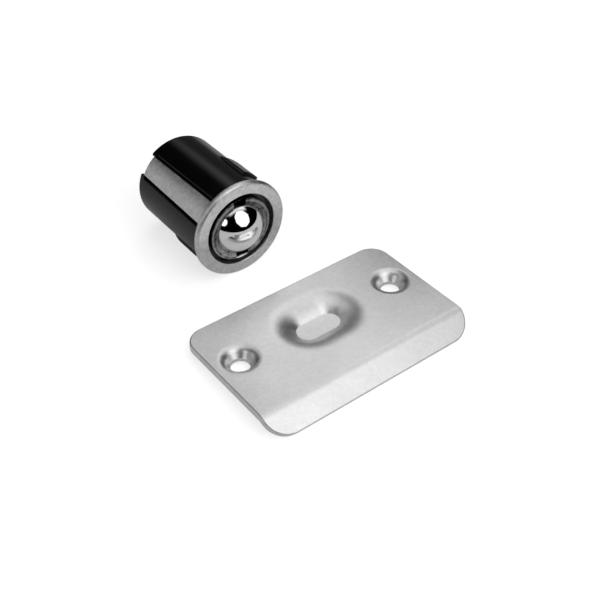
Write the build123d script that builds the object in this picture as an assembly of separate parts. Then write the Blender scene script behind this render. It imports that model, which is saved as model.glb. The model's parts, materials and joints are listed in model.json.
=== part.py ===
from build123d import *
from math import asin, atan, atan2, cos, degrees, hypot, radians, sin, sqrt, tan
import os

# A ball catch for a door, with the strike plate that goes with it, as they lie on a table.
# The barrel is pushed into the door's edge: a faceplate ring with two straps that hold a black moulded
# body, and in it a sleeve that screws in and out and carries a sprung ball. The strike is one pressed
# sheet that is screwed to the door frame.
# Millimetres. X runs along the strike, Y to the back, Z up, and the origin is on the table in the middle.

# Strike plate: the sheet and its outline
sheet = 1.6
strike_length = 57.2
strike_depth = 31.1
back_corner = 4.8
top_edge_round = 0.4

# Strike plate: the lip that the ball rides up, bent down along the front
lip_reach = 6.35
lip_angle = 38.0
lip_bend = 1.2
lip_corner = 6.05

# Strike plate: the row of two screw holes and the dish, from the bend line
row_depth = 17.4
screw_spacing = 44.0
screw_hole = 4.6
dimple_width = 10.2
dimple_depth = 2.2
dimple_rim = 2.4
dimple_wall = 0.5
dish_floor_length = 11.5
dish_floor_width = 5.6
dish_floor_sheet = 1.3
dish_run = 6.6
dish_depth = 2.7

# Faceplate ring and the straps that run back from it
flange_diameter = 25.2
flange_thickness = 1.6
flange_opening = 19.0
flange_front_round = 0.75
flange_back_round = 0.35
opening_round = 0.2
strap_thickness = 0.9
strap_width = 6.0
strap_end_width = 5.0
strap_turn = 50.0
strap_root = 0.8
strap_bend = 0.3
strap_tab = 2.4
strap_edge_round = 0.15

# Moulded body
body_diameter = 23.0
barrel_length = 29.4
body_rear_round = 1.1
rear_wall = 1.8
strap_recess = 1.1
channel_gap = 0.75
channel_stop = 2.2
channel_edge_round = 0.25
slot_mouth_round = 0.4
rib_setback = 4.8
rib_width = 5.2
rib_height = 0.7
rib_length = 10.4
rib_ramp = 3.5
rib_edge_round = 0.3

# Ball, sleeve, spring and plug
ball_diameter = 14.3
ball_projection = 3.7
sleeve_wall = 1.2
sleeve_setback = 0.25
sleeve_edge_round = 0.2
mouth_diameter = 13.2
mouth_bevel = 0.3
rear_lip_thickness = 0.5
rear_lip_width = 0.9
notch_width = 3.5
notch_depth = 2.2
notch_chamfer = 0.4
adjustment = 3.0
spring_wire = 0.9
spring_diameter = 12.6
spring_coils = 6
plug_thickness = 2.0
plug_edge_round = 0.3

# Fits
running = 0.05
end_clearance = 0.25

# Where the barrel lies, behind the strike's back edge and a little to the left of its middle
barrel_behind = 14.4
barrel_aside = -1.7

# Radii and heights along the barrel's own axis, with 0 on the faceplate's front and + out of the face
flange_radius = flange_diameter / 2
opening_radius = flange_opening / 2
body_radius = body_diameter / 2
ball_radius = ball_diameter / 2
bore_radius = ball_radius + running
sleeve_radius = bore_radius + sleeve_wall
ball_centre = ball_projection - ball_radius
body_front = -flange_thickness
body_rear = -barrel_length
well_bottom = body_rear + rear_wall
sleeve_face = -sleeve_setback
sleeve_rear = well_bottom + adjustment + end_clearance

# How far a cutting shape runs past what it cuts
past = 2.0


def turned(*edges):
    """A solid turned round the Z axis from edges drawn as (radius, height)."""
    return revolve(Plane.XZ * make_face(edges), Axis.Z)


def cross_slab(front_width, rear_width):
    """A slab through the whole barrel, across its axis, that narrows towards the rear."""
    front, rear = past, body_rear - past
    outline = Polygon(
        (-front_width / 2, front),
        (front_width / 2, front),
        (rear_width / 2, rear),
        (-rear_width / 2, rear),
        align=None,
    )
    return extrude(Plane.XZ * outline, flange_diameter, both=True)


def long_outer_edges(piece):
    """The edges that run most of the way along the barrel at its outside."""
    long = piece.edges().filter_by(lambda edge: edge.bounding_box().size.Z > barrel_length / 2)
    return long.group_by(lambda edge: hypot(edge.center().X, edge.center().Y))[-1]


# Faceplate ring: a flat washer with rounded outer edges
def faceplate_ring():
    width = flange_radius - opening_radius
    section = Pos(opening_radius + width / 2, -flange_thickness / 2) * Rectangle(width, flange_thickness)
    outer_back, outer_front = section.vertices().group_by(Axis.X)[-1].sort_by(Axis.Y)
    section = fillet(outer_front, flange_front_round)
    section = fillet(section.vertices().sort_by_distance(outer_back)[0], flange_back_round)
    inner_front = section.vertices().group_by(Axis.X)[0].sort_by(Axis.Y)[-1]
    section = fillet(inner_front, opening_round)
    return revolve(Plane.XZ * section, Axis.Z)


# Straps: two curved strips flush with the body, each with its end turned in over the body's rear
def strap_pair():
    outside = body_radius
    inside = outside - strap_thickness
    end = body_rear + strap_recess
    bend = strap_bend + strap_thickness
    tip = outside - strap_tab
    root_top = -flange_thickness / 2
    strips = turned(
        Line((inside, root_top), (outside + strap_root, root_top)),
        Line((outside + strap_root, root_top), (outside + strap_root, body_front)),
        RadiusArc((outside + strap_root, body_front), (outside, body_front - strap_root), strap_root),
        Line((outside, body_front - strap_root), (outside, end + bend)),
        RadiusArc((outside, end + bend), (outside - bend, end), bend),
        Line((outside - bend, end), (tip, end)),
        Line((tip, end), (tip, end + strap_thickness)),
        Line((tip, end + strap_thickness), (inside - strap_bend, end + strap_thickness)),
        RadiusArc((inside - strap_bend, end + strap_thickness), (inside, end + bend), -strap_bend),
        Line((inside, end + bend), (inside, root_top)),
    )
    straps = strips & cross_slab(strap_width, strap_end_width)
    return Rot(0, 0, strap_turn) * fillet(long_outer_edges(straps), strap_edge_round)


# Channels in the body: the straps' own form and open to the outside, with a gap beside each strap that
# stops short of the body's rear, where the strap's end sits close in its slot
def strap_channels():
    floor = body_radius - strap_thickness - running
    pocket = body_rear + strap_recess + strap_thickness + running
    pocket_inside = body_radius - strap_tab - running
    corner = strap_bend
    outside = flange_diameter
    ways = turned(
        Line((floor, past), (outside, past)),
        Line((outside, past), (outside, body_rear - past)),
        Line((outside, body_rear - past), (pocket_inside, body_rear - past)),
        Line((pocket_inside, body_rear - past), (pocket_inside, pocket)),
        Line((pocket_inside, pocket), (floor - corner, pocket)),
        RadiusArc((floor - corner, pocket), (floor, pocket + corner), -corner),
        Line((floor, pocket + corner), (floor, past)),
    )
    gap_part = Pos(0, 0, body_rear + channel_stop) * Cylinder(
        outside, 2 * barrel_length, align=(Align.CENTER, Align.CENTER, Align.MIN)
    )
    gaps = gap_part & cross_slab(strap_width + 2 * channel_gap, strap_end_width + 2 * channel_gap)
    return ways & (gaps + cross_slab(strap_width + 2 * running, strap_end_width + 2 * running))


# Ribs: two broad ridges a quarter turn from the straps that stop the barrel turning in its hole
rib_front = body_front - rib_setback
rib_end = rib_front - rib_length


def rib_pair():
    root = body_radius - rib_height
    tip = body_radius + rib_height
    ramp_start = rib_end + rib_ramp
    ridges = turned(
        Line((root, rib_front), (tip - rib_edge_round, rib_front)),
        RadiusArc((tip - rib_edge_round, rib_front), (tip, rib_front - rib_edge_round), rib_edge_round),
        Line((tip, rib_front - rib_edge_round), (tip, ramp_start)),
        TangentArc((tip, ramp_start), (body_radius, rib_end), tangent=(0, -1)),
        Line((body_radius, rib_end), (root, rib_end)),
        Line((root, rib_end), (root, rib_front)),
    )
    ribs = ridges & cross_slab(rib_width, rib_width)
    crests = ribs.edges().filter_by(GeomType.LINE).filter_by(Axis.Z)
    crests = crests.filter_by(lambda edge: hypot(edge.center().X, edge.center().Y) > body_radius)
    return Rot(0, 0, strap_turn + 90) * fillet(crests, rib_edge_round)


def slot_mouths(body):
    """The edges where the channels' close-fitting rear ends come out through the body's skin."""
    slot_inside = body_radius - strap_tab
    walls = body.faces().filter_by(GeomType.PLANE).filter_by(
        lambda face: face.bounding_box().size.X < running and face.center().Z < body_rear + channel_stop
    )
    return walls.edges().filter_by(
        lambda edge: edge.center().Z < body_rear + strap_recess and abs(edge.center().Y) > slot_inside
    )


def barrel_body():
    wall_rear = body_rear + body_rear_round
    cup = turned(
        Line((sleeve_radius + running, body_front), (body_radius, body_front)),
        Line((body_radius, body_front), (body_radius, wall_rear)),
        RadiusArc((body_radius, wall_rear), (body_radius - body_rear_round, body_rear), body_rear_round),
        Line((body_radius - body_rear_round, body_rear), (0, body_rear)),
        Line((0, body_rear), (0, well_bottom)),
        Line((0, well_bottom), (sleeve_radius + running, well_bottom)),
        Line((sleeve_radius + running, well_bottom), (sleeve_radius + running, body_front)),
    )
    channelled = cup - strap_channels()
    channelled = fillet(slot_mouths(channelled), slot_mouth_round)
    channelled = fillet(long_outer_edges(channelled), channel_edge_round)
    return Rot(0, 0, strap_turn) * channelled + rib_pair()


# Sleeve: a tube with a spherical seat swaged in behind its mouth, which keeps the ball from falling
# out, two notches for the adjusting key with their outer edge chamfered, and a lip that carries the plug
def adjusting_sleeve():
    mouth = mouth_diameter / 2
    mouth_height = ball_centre + sqrt(bore_radius**2 - mouth**2)
    lip_top = sleeve_rear + rear_lip_thickness
    lip_inside = bore_radius - rear_lip_width
    edge_top = (sleeve_radius - sleeve_edge_round, sleeve_face)
    edge_side = (sleeve_radius, sleeve_face - sleeve_edge_round)
    tube = turned(
        Line((mouth + mouth_bevel, sleeve_face), edge_top),
        RadiusArc(edge_top, edge_side, sleeve_edge_round),
        Line(edge_side, (sleeve_radius, sleeve_rear)),
        Line((sleeve_radius, sleeve_rear), (lip_inside, sleeve_rear)),
        Line((lip_inside, sleeve_rear), (lip_inside, lip_top)),
        Line((lip_inside, lip_top), (bore_radius, lip_top)),
        Line((bore_radius, lip_top), (bore_radius, ball_centre)),
        RadiusArc((bore_radius, ball_centre), (mouth, mouth_height), -bore_radius),
        Line((mouth, mouth_height), (mouth + mouth_bevel, sleeve_face)),
    )
    reach = sleeve_radius - notch_chamfer
    key_slot = Polygon(
        (-sleeve_radius - past, past),
        (-reach, -notch_chamfer),
        (-reach, -notch_depth),
        (reach, -notch_depth),
        (reach, -notch_chamfer),
        (sleeve_radius + past, past),
        align=None,
    )
    return tube - Pos(0, 0, sleeve_face) * extrude(Plane.YZ * key_slot, notch_width / 2, both=True)


def spring_plug():
    bottom = sleeve_rear + rear_lip_thickness + running
    disc = Pos(0, 0, bottom + plug_thickness / 2) * Cylinder(bore_radius - running, plug_thickness)
    return fillet(disc.edges().filter_by(GeomType.CIRCLE), plug_edge_round)


# Spring: it stands on the plug, and its last coil rests against the back of the ball
def spring():
    wire = spring_wire / 2
    coil = spring_diameter / 2 - wire
    bottom = sleeve_rear + rear_lip_thickness + plug_thickness + 2 * running + wire
    top = ball_centre - sqrt((ball_radius + running + wire)**2 - coil**2)
    path = Helix((top - bottom) / spring_coils, top - bottom, coil)
    section = Plane(origin=path @ 0, z_dir=path % 0) * Circle(wire)
    return Pos(0, 0, bottom) * sweep(section, path)


# Sheet of the strike, seen from its end: the flat, a soft bend and the lip, with its top at height 0
def bent_sheet():
    slope = radians(lip_angle)
    lip_end = (-lip_reach * cos(slope), -lip_reach * sin(slope))
    lip_under = (lip_end[0] + sheet * sin(slope), lip_end[1] - sheet * cos(slope))
    section = Polygon(
        (strike_depth, 0),
        (0, 0),
        lip_end,
        lip_under,
        (sheet * tan(slope / 2), -sheet),
        (strike_depth, -sheet),
        align=None,
    )
    top_of_bend = section.vertices().sort_by_distance((0, 0))[0]
    section = fillet(top_of_bend, lip_bend + sheet)
    under_bend = section.vertices().sort_by_distance((sheet * tan(slope / 2), -sheet))[0]
    section = fillet(under_bend, lip_bend)
    return extrude(Plane.YZ * section, strike_length / 2, both=True)


# Corner waste: what a blanking punch takes off round the lip's two corners, drawn on the lip's own slope
def corner_waste():
    slope = radians(lip_angle)
    lip_top = Plane(
        origin=(0, -lip_reach * cos(slope), -lip_reach * sin(slope)),
        x_dir=(1, 0, 0),
        z_dir=(0, -sin(slope), cos(slope)),
    )
    blank = Pos(0, lip_corner) * Rectangle(strike_length, 2 * lip_corner)
    blank = fillet(blank.vertices().group_by(Axis.Y)[0], lip_corner)
    band = Rectangle(strike_length + 2 * past, lip_corner + past, align=(Align.CENTER, Align.MAX))
    return extrude(lip_top * (Pos(0, lip_corner) * band - blank), 2 * sheet, both=True)


# Outline: the edges that run once round the top, where the sheet's upper faces meet its cut sides
def top_outline(plate):
    upper = plate.faces().filter_by(lambda face: face.normal_at().Z > 0.5)
    borders = [edge for face in upper for edge in face.edges()]
    return [edge for edge in borders if sum(edge.is_same(other) for other in borders) == 1]


# Dimple: the sheet drawn down in a cone round a screw hole, for the screw's countersunk head
def dimple():
    hole, rim = screw_hole / 2, dimple_width / 2
    across, down = rim - hole, dimple_depth - dimple_rim
    cone = atan2(down, across) + asin(dimple_rim / hypot(across, down))
    wall_drop = dimple_wall / cos(cone)
    cone_top = (rim - dimple_rim * sin(cone), -dimple_rim * (1 - cos(cone)))
    under = hole + (dimple_depth - sheet + wall_drop) / tan(cone)
    outside = rim + dimple_wall
    return outside, turned(
        Line((hole, -dimple_depth), cone_top),
        CenterArc((rim, -dimple_rim), dimple_rim, 90, degrees(cone)),
        Line((rim, 0), (outside, 0)),
        Line((outside, 0), (outside, -sheet)),
        Line((outside, -sheet), (under, -sheet)),
        Line((under, -sheet), (hole, -dimple_depth - wall_drop)),
        Line((hole, -dimple_depth - wall_drop), (hole, -dimple_depth)),
    )


# Dish: the pocket the ball drops into. Its wall rolls over from the flat down to a flat oval floor,
# and underneath the sheet turns round the floor's edge and sweeps back up to the flat's underside
dish_floor_end = dish_floor_width / 2
dish_straight = dish_floor_length - dish_floor_width
dish_edge = dish_floor_end + dish_run


def dish():
    drop = dish_depth - sheet
    roll = hypot(dish_run, dish_depth)**2 / (2 * dish_depth)
    sweep_radius = (dish_run**2 + drop**2 - dish_floor_sheet**2) / (2 * (drop + dish_floor_sheet))
    roll_turn = degrees(2 * atan(dish_depth / dish_run))
    sweep_turn = 90 + degrees(atan2(drop - sweep_radius, dish_run))
    under = -dish_depth - dish_floor_sheet
    section = make_face([
        Line((0, -dish_depth), (dish_floor_end, -dish_depth)),
        CenterArc((dish_edge, -roll), roll, 90, roll_turn),
        Line((dish_edge, 0), (dish_edge, -sheet)),
        CenterArc((dish_edge, -sheet - sweep_radius), sweep_radius, 90, sweep_turn),
        CenterArc((dish_floor_end, -dish_depth), dish_floor_sheet, 270, sweep_turn),
        Line((dish_floor_end, under), (0, under)),
        Line((0, under), (0, -dish_depth)),
    ])
    end_plane = Plane(origin=(dish_straight / 2, 0, 0), x_dir=(0, -1, 0), z_dir=(-1, 0, 0))
    end = revolve(end_plane * section, Axis((dish_straight / 2, 0, 0), (0, 0, 1)), 180)
    side = extrude(end_plane * section, dish_straight)
    return end + mirror(end, Plane.YZ) + side + mirror(side, Plane.XZ)


def strike_plate():
    plate = bent_sheet() - corner_waste()
    back = plate.edges().filter_by(Axis.Z).group_by(Axis.Y)[-1]
    plate = fillet(back, back_corner)
    plate = fillet(top_outline(plate), top_edge_round)
    dimple_reach, cone = dimple()
    for side in (-1, 1):
        place = Pos(side * screw_spacing / 2, row_depth, 0)
        plate = plate - place * Cylinder(dimple_reach, 3 * sheet) + place * cone
    oval = SlotOverall(dish_straight + 2 * dish_edge, 2 * dish_edge)
    place = Pos(0, row_depth, 0)
    return plate - place * extrude(oval, 2 * sheet, both=True) + place * dish()


# The strike rests on the lower edge of its lip and on the rounded far edge of its dish's underside
def strike_at_rest(plate):
    slope = radians(lip_angle)
    lip_y = sheet * sin(slope) - lip_reach * cos(slope)
    lip_z = -sheet * cos(slope) - lip_reach * sin(slope)
    back = row_depth + dish_floor_end - lip_y
    rise = -dish_depth - lip_z
    tilt = atan2(rise, back) - asin(dish_floor_sheet / hypot(back, rise))
    lift = lip_y * sin(tilt) - lip_z * cos(tilt)
    print("strike leans back", round(degrees(tilt), 4), "degrees, bend line", round(lift, 4), "high")
    return Pos(0, 0, lift) * Rot(-degrees(tilt), 0, 0) * plate


# The barrel rests on the rear round of its faceplate's rim and on the rear round of its body
def barrel_at_rest(pieces):
    front_round = (flange_back_round - flange_thickness, flange_radius - flange_back_round)
    back_round = (body_rear + body_rear_round, body_radius - body_rear_round)
    along = front_round[0] - back_round[0]
    across = front_round[1] - back_round[1]
    rise = atan2(across, along) + asin((flange_back_round - body_rear_round) / hypot(along, across))
    height = front_round[1] * cos(rise) - front_round[0] * sin(rise) + flange_back_round
    place = Pos(barrel_aside, strike_depth + barrel_behind, height) * Rot(90 - degrees(rise), 0, 0)
    print("barrel rises", round(degrees(rise), 4), "degrees, faceplate's middle", round(height, 4), "high")
    return {name: place * piece for name, piece in pieces.items()}


pieces = barrel_at_rest({
    "flange_shell": faceplate_ring() + strap_pair(),
    "barrel_body": barrel_body(),
    "adjusting_sleeve": adjusting_sleeve(),
    "ball": Pos(0, 0, ball_centre) * Sphere(ball_radius),
    "spring": spring(),
    "spring_plug": spring_plug(),
})
pieces["strike_plate"] = strike_at_rest(strike_plate())

whole = Compound([solid for piece in pieces.values() for solid in piece.solids()]).bounding_box()
to_origin = Pos(-whole.center().X, -whole.center().Y, -whole.min.Z)

os.makedirs("parts", exist_ok=True)
for name, piece in pieces.items():
    export_step(to_origin * piece, f"parts/{name}.step")
print("bend line and barrel moved", round(to_origin.position.Y, 4), "along Y")
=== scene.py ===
import bmesh
import bpy
import json
from math import pi, radians
from mathutils import Matrix, Vector


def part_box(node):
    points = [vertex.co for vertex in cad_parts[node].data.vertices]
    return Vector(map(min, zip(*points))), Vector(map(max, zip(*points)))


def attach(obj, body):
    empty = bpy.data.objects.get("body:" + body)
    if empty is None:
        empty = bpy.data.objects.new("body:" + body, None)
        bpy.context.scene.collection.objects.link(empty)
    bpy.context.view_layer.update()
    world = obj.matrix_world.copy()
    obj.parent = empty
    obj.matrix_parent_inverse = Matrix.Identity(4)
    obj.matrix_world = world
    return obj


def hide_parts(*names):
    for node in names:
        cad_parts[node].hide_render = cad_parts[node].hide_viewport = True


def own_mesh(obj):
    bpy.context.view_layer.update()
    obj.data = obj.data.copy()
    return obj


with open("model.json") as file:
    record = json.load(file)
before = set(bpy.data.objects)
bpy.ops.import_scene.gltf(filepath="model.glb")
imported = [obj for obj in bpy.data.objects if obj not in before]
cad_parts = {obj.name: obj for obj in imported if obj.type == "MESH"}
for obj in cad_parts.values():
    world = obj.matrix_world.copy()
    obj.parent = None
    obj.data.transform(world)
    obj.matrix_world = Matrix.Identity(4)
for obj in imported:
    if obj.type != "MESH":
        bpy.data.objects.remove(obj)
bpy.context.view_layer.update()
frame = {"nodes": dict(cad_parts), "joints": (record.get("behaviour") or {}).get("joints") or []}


# Faceplate and straps: a flat ring of stamped steel with two long straps that run back from its rim and
# hook over the rear of the body. It is plated and left satin, with a fine cloudy grain.
class Value:
    """A shader socket in an expression. An operator adds the Math node that works it out."""

    def __init__(self, socket):
        self.socket = socket

    def node(self, kind, settings=None, inputs=None, output=0):
        """A node of any kind in the same tree, with its settings made first, and one of its outputs."""
        tree = self.socket.id_data
        made = tree.nodes.new(kind)
        for name, setting in (settings or {}).items():
            setattr(made, name, setting)
        for name, given in (inputs or {}).items():
            if isinstance(given, Value):
                tree.links.new(given.socket, made.inputs[name])
            else:
                made.inputs[name].default_value = given
        return Value(made.outputs[output]) if made.outputs else None

    def math(self, operation, first, second):
        return self.node("ShaderNodeMath", {"operation": operation}, {0: first, 1: second})

    def __add__(self, other):
        return self.math("ADD", self, other)

    def __radd__(self, other):
        return self.math("ADD", other, self)

    def __sub__(self, other):
        return self.math("SUBTRACT", self, other)

    def __rsub__(self, other):
        return self.math("SUBTRACT", other, self)

    def __mul__(self, other):
        return self.math("MULTIPLY", self, other)

    def __rmul__(self, other):
        return self.math("MULTIPLY", other, self)


def noise(place, size, detail=2.0, roughness=0.5):
    """Cloudy noise from 0 to 1 whose patches are about that size."""
    inputs = {"Vector": place, "Scale": 1 / size, "Detail": detail, "Roughness": roughness}
    return place.node("ShaderNodeTexNoise", {"noise_dimensions": "3D"}, inputs)


def fade(value, none, full):
    """Goes smoothly from 0 to 1 as the value goes from one number to the other."""
    smooth = {"interpolation_type": "SMOOTHSTEP"}
    return value.node("ShaderNodeMapRange", smooth, {"Value": value, "From Min": none, "From Max": full})


def between(factor, low, high):
    """A colour that goes from low to high as the factor goes from 0 to 1."""
    mixed = {0: factor, 6: (*low, 1), 7: (*high, 1)}
    return factor.node("ShaderNodeMix", {"data_type": "RGBA"}, mixed, 2)


def relief(height, depth):
    """A normal for a surface whose height, from 0 to 1, stands for that depth."""
    return height.node("ShaderNodeBump", {}, {"Height": height, "Distance": depth, "Strength": 1.0})


def metal(colour, roughness, normal):
    """Bare or plated metal."""
    return colour.node("ShaderNodeBsdfPrincipled", {}, {
        "Base Color": colour,
        "Metallic": 1.0,
        "Roughness": roughness,
        "Normal": normal,
    })


def finish(piece, name, surface):
    """Gives the piece a new material, whose shader the surface function builds from its coordinates."""
    material = bpy.data.materials.new(name)
    material.use_nodes = True
    tree = material.node_tree
    tree.nodes.clear()
    place = Value(tree.nodes.new("ShaderNodeTexCoord").outputs["Object"])
    place.node("ShaderNodeOutputMaterial", {}, {"Surface": surface(place)})
    if piece.material_slots:
        for slot in piece.material_slots:
            slot.material = material
    else:
        piece.data.materials.append(material)


satin_dull = (0.57, 0.57, 0.575)
satin_bright = (0.84, 0.84, 0.84)
satin_grain_depth = 0.00002


def satin_steel(place):
    cloud = noise(place, size=0.0011, detail=3.0, roughness=0.65)
    grain = noise(place, size=0.00022)
    blotch = noise(place, size=0.006)
    mottle = fade(0.5 * cloud + 0.35 * grain + 0.15 * blotch, none=0.34, full=0.66)
    colour = between(mottle, satin_dull, satin_bright)
    roughness = 0.26 + 0.16 * cloud + 0.08 * grain
    return metal(colour, roughness, relief(0.6 * grain + 0.4 * cloud, satin_grain_depth))


finish(frame["nodes"]["flange_shell"], "satin_steel", satin_steel)


# Body: a thick-walled cup moulded in black plastic, with a channel down each side for a strap and two
# short ribs. The mould leaves it half glossy, with a faint orange-peel surface.
plastic_black = (0.0015, 0.0015, 0.0017)
plastic_scuffed = (0.005, 0.005, 0.0055)
plastic_ior = 1.37
peel_depth = 0.000006


def black_plastic(place):
    peel = noise(place, size=0.0009)
    scuff = noise(place, size=0.0045, detail=4.0, roughness=0.6)
    return place.node("ShaderNodeBsdfPrincipled", {}, {
        "Base Color": between(scuff, plastic_black, plastic_scuffed),
        "Roughness": 0.14 + 0.1 * scuff,
        "IOR": plastic_ior,
        "Normal": relief(peel, peel_depth),
    })


finish(frame["nodes"]["barrel_body"], "black_plastic", black_plastic)


# Sleeve: a turned tube with its mouth swaged in round the ball and two notches for an adjusting key. Its
# plating is mottled down to dark bare metal and ringed by the tool. Painted shade darkens the upper half
# of the mouth, and turns the sleeve near black behind the front of the mouth, so in the notches too.
sleeve_low, sleeve_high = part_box("adjusting_sleeve")
sleeve_middle = (sleeve_low + sleeve_high) / 2
# Near black: the dark bare metal in the mottle, and also the painted shade behind the mouth and in the
# notches.
sleeve_bare_and_shade = (0.02, 0.02, 0.02)
sleeve_plated = (0.7, 0.7, 0.7)
# Painted shade in the recess: it starts at the first depth behind the front of the mouth and is full at
# the second.
shade_start_depth = 0.0006
shade_full_depth = 1.8 * shade_start_depth
ring_width = 0.0006
ring_depth = 0.00008
# Painted shade on the upper half of the mouth: how strong it is, and the heights where it starts and
# where it is full.
top_shade_strength = 0.6
top_shade_start_height = -0.005
top_shade_full_height = 0.003


def along(place, axis):
    """How far a place or direction lies along X, Y or Z."""
    return place.node("ShaderNodeSeparateXYZ", {}, {0: place}, axis)


def mottled_plating(place):
    centred = place.node("ShaderNodeVectorMath", {"operation": "SUBTRACT"}, {0: place, 1: sleeve_middle})
    flat = centred.node("ShaderNodeVectorMath", {"operation": "MULTIPLY"}, {0: centred, 1: (1, 0, 1)})
    radius = flat.node("ShaderNodeVectorMath", {"operation": "LENGTH"}, {0: flat}, "Value")
    ring_inputs = {"W": radius, "Scale": 1 / ring_width}
    rings = radius.node("ShaderNodeTexNoise", {"noise_dimensions": "1D"}, ring_inputs)
    patch = noise(place, size=0.0014, detail=4.0, roughness=0.7)
    speck = noise(place, size=0.0003)
    plated = fade(0.5 * patch + 0.15 * speck + 0.35 * rings, none=0.36, full=0.62)
    # Painted shade: 1 at the front of the mouth, going to 0 deeper in, so the notches and the inside turn
    # near black.
    unshaded_front = fade(along(place, "Y") - sleeve_low.y, shade_full_depth, shade_start_depth)
    # Painted shade: the mouth is darker towards the top.
    painted_top_shade = top_shade_strength * fade(along(centred, "Z"), top_shade_start_height, top_shade_full_height)
    colour = between(plated * unshaded_front * (1 - painted_top_shade), sleeve_bare_and_shade, sleeve_plated)
    return metal(colour, 0.2 + 0.2 * patch, relief(0.4 * patch + 0.6 * rings, ring_depth))


finish(frame["nodes"]["adjusting_sleeve"], "mottled_plating", mottled_plating)


# Plug and spring: a turned disc that the rear lip of the sleeve carries, and on it a coil of bright wire
# that pushes the ball against its seat. Both are lightly oiled. The coil goes with the cartridge; how far
# it would shorten as the ball is pressed in is worked out, but it is not applied.
plug_dark = (0.34, 0.33, 0.31)
plug_light = (0.5, 0.49, 0.47)
plug_film_depth = 0.000008
wire_dark = (0.4, 0.4, 0.41)
wire_light = (0.6, 0.6, 0.61)
wire_drawn_depth = 0.000005
coil_weld = 0.000001
coil_slack = 0.0001


def turned_steel(place):
    film = noise(place, size=0.002, detail=3.0)
    colour = between(film, plug_dark, plug_light)
    return metal(colour, 0.26 + 0.16 * film, relief(film, plug_film_depth))


def spring_wire(place):
    drawn = noise(place, size=0.0007, detail=3.0)
    colour = between(drawn, wire_dark, wire_light)
    return metal(colour, 0.2 + 0.15 * drawn, relief(drawn, wire_drawn_depth))


def new_piece(name, mesh_tool):
    """An object whose mesh comes from a bmesh."""
    mesh = bpy.data.meshes.new(name)
    mesh_tool.to_mesh(mesh)
    mesh_tool.free()
    piece = bpy.data.objects.new(name, mesh)
    bpy.context.scene.collection.objects.link(piece)
    return piece


finish(frame["nodes"]["spring_plug"], "turned_steel", turned_steel)
finish(frame["nodes"]["spring"], "spring_wire", spring_wire)

coil_mesh = bmesh.new()
coil_mesh.from_mesh(frame["nodes"]["spring"].data)
bmesh.ops.remove_doubles(coil_mesh, verts=coil_mesh.verts, dist=coil_weld)
bmesh.ops.transform(coil_mesh, matrix=frame["nodes"]["spring"].matrix_world, verts=coil_mesh.verts)
coil = new_piece("coil", coil_mesh)
coil.data.shade_smooth()
finish(coil, "coil_wire", spring_wire)
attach(coil, "cartridge")
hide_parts("spring")
coil_low, coil_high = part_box("spring")
press = next(joint for joint in frame["joints"] if joint["name"] == "ball_press")
coil_kept = 1 - (press["range_m"][1] + coil_slack) / (coil_high.y - coil_low.y)
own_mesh(coil)


# Ball: a hardened and polished steel ball. It is a mirror, broken only by a breath of oil and fine rubs.
# The swaged mouth of the sleeve holds it, and the coil pushes it out.
ball_dull = (0.9, 0.9, 0.905)
ball_bright = (0.97, 0.97, 0.975)
ball_rub_depth = 0.000001


def polished_steel(place):
    film = noise(place, size=0.003, detail=3.0)
    rub = noise(place, size=0.0004, detail=3.0, roughness=0.6)
    colour = between(film, ball_dull, ball_bright)
    return metal(colour, 0.04 + 0.05 * film, relief(rub, ball_rub_depth))


finish(frame["nodes"]["ball"], "polished_steel", polished_steel)


# Strike plate: one pressing of sheet steel with its front bent down as a lip, two dimpled screw holes
# and a dish for the ball. It has the faceplate's satin plating, a little brighter.
strike_dull = (0.76, 0.76, 0.76)
strike_bright = (0.93, 0.93, 0.925)
strike_grain_depth = 0.000016


def bright_satin_steel(place):
    cloud = noise(place, size=0.0012, detail=3.0, roughness=0.6)
    grain = noise(place, size=0.00025)
    blotch = noise(place, size=0.009)
    mottle = fade(0.35 * cloud + 0.4 * grain + 0.25 * blotch, none=0.34, full=0.66)
    colour = between(mottle, strike_dull, strike_bright)
    roughness = 0.3 + 0.1 * cloud + 0.06 * grain
    return metal(colour, roughness, relief(0.7 * grain + 0.3 * cloud, strike_grain_depth))


finish(frame["nodes"]["strike_plate"], "bright_satin_steel", bright_satin_steel)


# Table: a plain white floor, far larger than the view. What the camera and the metal see of it is lifted
# to white, so that only the shadows of the two pieces show on it.
floor_reach = 1.5
floor_colour = (0.8, 0.8, 0.8, 1)
floor_lift = 0.7
floor_lift_mirrored = 0.1
floor_mesh = bmesh.new()
bmesh.ops.create_grid(floor_mesh, x_segments=1, y_segments=1, size=floor_reach)
floor = new_piece("floor", floor_mesh)


def seen_white(place, strength, mirrored):
    """Light that only the camera and, in part, mirrors and glass see."""
    path = "ShaderNodeLightPath"
    seen = place.node(path, {}, {}, "Is Camera Ray")
    glossy = place.node(path, {}, {}, "Is Glossy Ray")
    through = place.node(path, {}, {}, "Is Transmission Ray")
    return strength * seen + mirrored * glossy + strength * through


def white_table(place):
    board = place.node("ShaderNodeBsdfDiffuse", {}, {"Color": floor_colour})
    lift_strength = seen_white(place, floor_lift, floor_lift_mirrored)
    lift = place.node("ShaderNodeEmission", {}, {"Strength": lift_strength})
    return place.node("ShaderNodeAddShader", {}, {0: board, 1: lift})


finish(floor, "white_table", white_table)


# Studio: dark but for a wide white ceiling over the far right, a dimmer panel straight overhead, a pale
# wall and a round lamp on the left, a little light along the far wall, and one large eight-sided soft box
# in front of the pieces. The camera itself sees plain white past the floor.
ceiling_level = 1.6
overhead_level = 0.88
left_wall_level = 0.52
far_wall_level = 0.1
lamp_level = 1.5
lamp_aim = Vector((-0.84, -0.16, 0.51)).normalized()
studio_white = (1, 1, 1, 1)

world = bpy.data.worlds.new("studio")
bpy.context.scene.world = world
world.use_nodes = True
world.node_tree.nodes.clear()
direction = Value(world.node_tree.nodes.new("ShaderNodeTexCoord").outputs["Generated"])
across = along(direction, "X")
inward = along(direction, "Y")
upward = along(direction, "Z")

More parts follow.
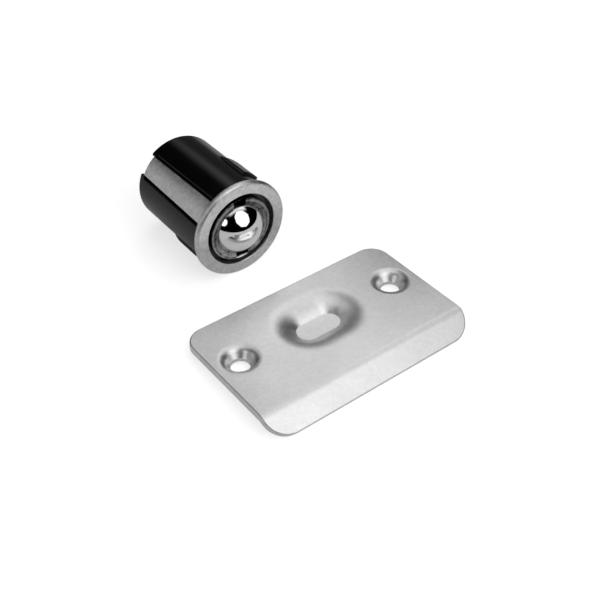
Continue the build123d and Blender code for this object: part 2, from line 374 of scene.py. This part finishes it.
# Each fade goes from where along an axis the direction finds no light to where it finds it all.
ceiling_sides = fade(across, 0.16, 0.56) * fade(across, 0.8, 0.62)
ceiling = ceiling_level * (ceiling_sides * fade(inward, 0.2, 0.5) * fade(upward, 0.42, 0.62))
overhead_sides = fade(across, -0.55, -0.3) * fade(across, 0.76, 0.56)
overhead_ends = fade(inward, -0.35, -0.1) * fade(inward, 0.45, 0.2)
overhead = overhead_level * (overhead_sides * overhead_ends * fade(upward, 0.6, 0.8))
below_ceiling = fade(upward, 0.62, 0.42)
left_wall = left_wall_level * (fade(across, -0.35, -0.6) * fade(inward, 0.2, 0.5) * below_ceiling)
far_wall = far_wall_level * (fade(across, -0.2, 0.3) * fade(inward, 0.0, 0.4) * below_ceiling)
lamp_inputs = {0: direction, 1: lamp_aim}
lamp_angle = direction.node("ShaderNodeVectorMath", {"operation": "DOT_PRODUCT"}, lamp_inputs, "Value")
lamp = lamp_level * fade(lamp_angle, 0.965, 0.985)
camera_ray = direction.node("ShaderNodeLightPath", {}, {}, "Is Camera Ray")
level = camera_ray + (1 - camera_ray) * (ceiling + overhead + left_wall + far_wall + lamp)
background = direction.node("ShaderNodeBackground", {}, {"Color": studio_white, "Strength": level})
background.node("ShaderNodeOutputWorld", {}, {"Surface": background})

ball_centre = sum(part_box("ball"), Vector()) / 2
box_direction = Vector((0.202, -0.705, 0.682)).normalized()
box_distance = 0.55
box_sides = 8
box_radius = 0.3
box_stretch = 1.15
box_strength = 1.3
soft_box_mesh = bmesh.new()
bmesh.ops.create_circle(soft_box_mesh, cap_ends=True, segments=box_sides, radius=box_radius)
box_turn = box_direction.to_track_quat("Z", "Y").to_matrix().to_4x4()
box_place = Matrix.Translation(ball_centre + box_distance * box_direction)
hung = box_place @ (box_turn @ Matrix.Diagonal((1, box_stretch, 1, 1)))
bmesh.ops.transform(soft_box_mesh, matrix=hung, verts=soft_box_mesh.verts)
soft_box = new_piece("soft_box", soft_box_mesh)
soft_box.visible_camera = False


def glowing(level):
    """A surface that only gives light, of that strength."""
    return lambda place: place.node("ShaderNodeEmission", {}, {"Strength": level})


finish(soft_box, "soft_light", glowing(box_strength))


# Cards: a strip of white card just above the faceplate, which lightens the right side of the dish, and
# a black one far behind on the right, which darkens its left side. They show only in the metal.
def card(name, level, middle, across, up):
    """A card round its middle, as wide and high as its two sides. It shines at that level."""
    mesh = bmesh.new()
    bmesh.ops.create_grid(mesh, x_segments=1, y_segments=1, size=0.5)
    across, up = Vector(across), Vector(up)
    outline = Matrix((across, up, across.cross(up))).transposed().to_4x4()
    bmesh.ops.transform(mesh, matrix=Matrix.Translation(middle) @ outline, verts=mesh.verts)
    made = new_piece(name, mesh)
    made.visible_camera = made.visible_diffuse = made.visible_shadow = False
    finish(made, name, glowing(level))


card("white_card", level=0.7, middle=(-0.013, 0.0195, 0.05), across=(0.042, 0, 0), up=(0, 0.027, 0))
card("black_card", level=0.0, middle=(0.114, 0.064, 0.053), across=(0.036, -0.038, 0), up=(0, 0, 0.104))


# Camera: in front of the strike's left end, looking down on both pieces. Its place, its three angles and
# its lens were fitted to the photograph together.
camera_place = (-0.10548, -0.14339, 0.16056)
camera_turn = radians(-38.49)
camera_fall = radians(42.65)
camera_lean = radians(1.73)
camera_lens = 59.06
camera_clip = 0.01
camera = bpy.data.objects.new("camera", bpy.data.cameras.new("camera"))
bpy.context.scene.collection.objects.link(camera)
bpy.context.scene.camera = camera
aim = Matrix.Rotation(camera_turn, 4, "Z") @ Matrix.Rotation(pi / 2 - camera_fall, 4, "X")
camera.matrix_world = Matrix.Translation(camera_place) @ aim @ Matrix.Rotation(camera_lean, 4, "Z")
camera.data.lens = camera_lens
camera.data.clip_start = camera_clip

bpy.context.scene.view_settings.view_transform = "Standard"
